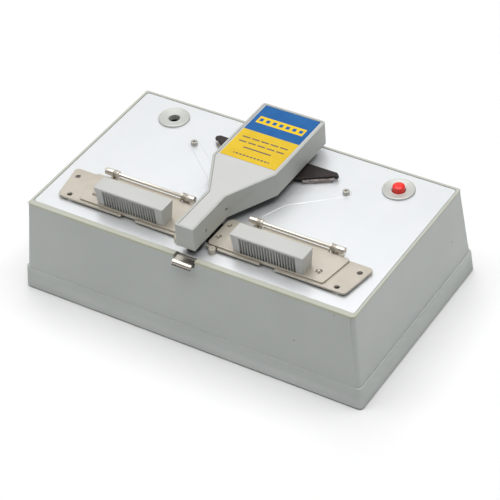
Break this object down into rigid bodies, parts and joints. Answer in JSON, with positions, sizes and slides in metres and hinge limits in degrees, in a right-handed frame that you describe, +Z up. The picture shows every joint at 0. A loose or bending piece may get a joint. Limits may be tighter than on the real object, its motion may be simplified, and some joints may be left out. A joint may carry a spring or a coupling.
{
  "type": "motorised film splicer",
  "caption": "Motorised cine film splicer: metal-decked case with a lifting grinder arm, ribbed film clamps on hinge rods, a swivelling lever, power socket and push button.",
  "frame": {"origin": "on the table, under the middle of the case", "axes": "+X along the case to the right of a person using it, +Y from the front to the back, +Z up"},
  "size_m": [0.2114, 0.1262, 0.0753],
  "materials": {
    "case_plastic": "smooth grey moulding",
    "base_plastic": "dark textured moulding",
    "black_rubber": "plain black rubber",
    "screw_steel": "zinc plated",
    "black_plastic": "black moulding",
    "cell_wrap": null,
    "contact_metal": "plated spring metal",
    "lead_insulation": "insulated flat lead",
    "deck_metal": "satin, fine grain",
    "bright_nickel": "bright nickel plate",
    "satin_nickel": "satin nickel plate, slightly warm",
    "anvil_steel": "ground steel",
    "bezel_metal": "turned, dished face",
    "red_plastic": "glossy red",
    "grip_plastic": "pale grey, ribbed front",
    "wing_paint": "dark brown",
    "strip_fibre": "streaked grey strip",
    "arm_plastic": "smooth grey moulding",
    "inlay_plastic": "pale satin inlay",
    "label_print": "printed sheet, blue over yellow, no lettering",
    "motor_steel": "drawn steel can",
    "gear_brass": "machined brass",
    "gear_nylon": "natural nylon",
    "abrasive": "coarse dark abrasive"
  },
  "bodies": {
    "base": {"casing": "case_plastic", "bottom_plate": "base_plastic", "feet": "black_rubber", "case_screws": "screw_steel", "door_pins": "screw_steel", "battery_box": "black_plastic", "cells": "cell_wrap", "battery_contacts": "contact_metal", "wiring": "lead_insulation", "deck_plate": "deck_metal", "slide_runners": "deck_metal", "guide_posts": "bright_nickel", "locating_studs": "satin_nickel", "splice_anvil": "anvil_steel", "jack_bezel": "bezel_metal", "jack_socket": "black_plastic", "jack_contact": "contact_metal", "button_bezel": "bezel_metal", "button_spring": "screw_steel", "switch_body": "black_plastic", "hinge_bracket_left": "satin_nickel", "hinge_bracket_right": "satin_nickel", "hinge_rod_left": "bright_nickel", "hinge_rod_right": "bright_nickel", "wing_pivot": "screw_steel", "arm_bracket": "screw_steel", "arm_pin": "screw_steel"},
    "arm": {"arm_shell": "arm_plastic", "arm_inlay": "inlay_plastic", "label": "label_print", "arm_floor": "black_plastic", "arm_tip_plate": "black_plastic", "rest_foot": "black_rubber", "motor": "motor_steel", "shaft_bearings": "gear_brass", "bearing_screws": "screw_steel"},
    "rotor": {"motor_shaft": "screw_steel", "motor_pinion": "gear_brass"},
    "spindle": {"drive_shaft": "screw_steel", "shaft_gear": "gear_nylon", "grinding_roller": "abrasive"},
    "wing": {"wing_lever": "wing_paint", "wing_strips": "strip_fibre"},
    "lower_left": {"lower_plate_left": "satin_nickel", "film_pins_left": "bright_nickel"},
    "lower_right": {"lower_plate_right": "satin_nickel", "film_pins_right": "bright_nickel"},
    "upper_left": {"upper_plate_left": "satin_nickel", "grip_left": "grip_plastic"},
    "upper_right": {"upper_plate_right": "satin_nickel", "grip_right": "grip_plastic"},
    "slide_tray": {"dust_slide": "bright_nickel"},
    "button": {"red_button": "red_plastic"},
    "battery_lid": {"battery_door": "base_plastic"}
  },
  "joints": [
    {"name": "arm_lift", "type": "hinge", "parent": "base", "child": "arm", "pos_m": [0, 0.0495, 0.066], "axis": [-1, 0, 0], "range_deg": [0, 70]},
    {"name": "spindle_spin", "type": "hinge", "parent": "arm", "child": "spindle", "pos_m": [0, 0, 0.0635], "axis": [0, 1, 0], "continuous": true},
    {"name": "motor_spin", "type": "hinge", "parent": "arm", "child": "rotor", "pos_m": [0, 0, 0.0675], "axis": [0, 1, 0], "continuous": true},
    {"name": "lower_left_lift", "type": "hinge", "parent": "base", "child": "lower_left", "pos_m": [0, -0.02, 0.0615], "axis": [-1, 0, 0], "range_deg": [0, 60]},
    {"name": "lower_right_lift", "type": "hinge", "parent": "base", "child": "lower_right", "pos_m": [0, -0.02, 0.0615], "axis": [-1, 0, 0], "range_deg": [0, 60]},
    {"name": "upper_left_lift", "type": "hinge", "parent": "lower_left", "child": "upper_left", "pos_m": [0, -0.02, 0.0615], "axis": [-1, 0, 0], "range_deg": [0, 60]},
    {"name": "upper_right_lift", "type": "hinge", "parent": "lower_right", "child": "upper_right", "pos_m": [0, -0.02, 0.0615], "axis": [-1, 0, 0], "range_deg": [0, 60]},
    {"name": "wing_swivel", "type": "hinge", "parent": "base", "child": "wing", "pos_m": [0, 0.03, 0.0585], "axis": [0, 0, 1], "range_deg": [-10, 10]},
    {"name": "dust_pull", "type": "slide", "parent": "base", "child": "slide_tray", "axis": [0, -1, 0], "range_m": [0, 0.03]},
    {"name": "button_press", "type": "slide", "parent": "base", "child": "button", "axis": [0, 0, -1], "range_m": [0, 0.0018], "stiffness_N_per_m": 280, "springref_m": -0.002, "deforming": ["button_spring"]},
    {"name": "battery_door_open", "type": "hinge", "parent": "base", "child": "battery_lid", "pos_m": [0, -0.0302, 0.0022], "axis": [-1, 0, 0], "range_deg": [0, 85]}
  ],
  "couplings": [
    {"joint": "motor_spin", "follows": "spindle_spin", "ratio": -0.81818}
  ]
}
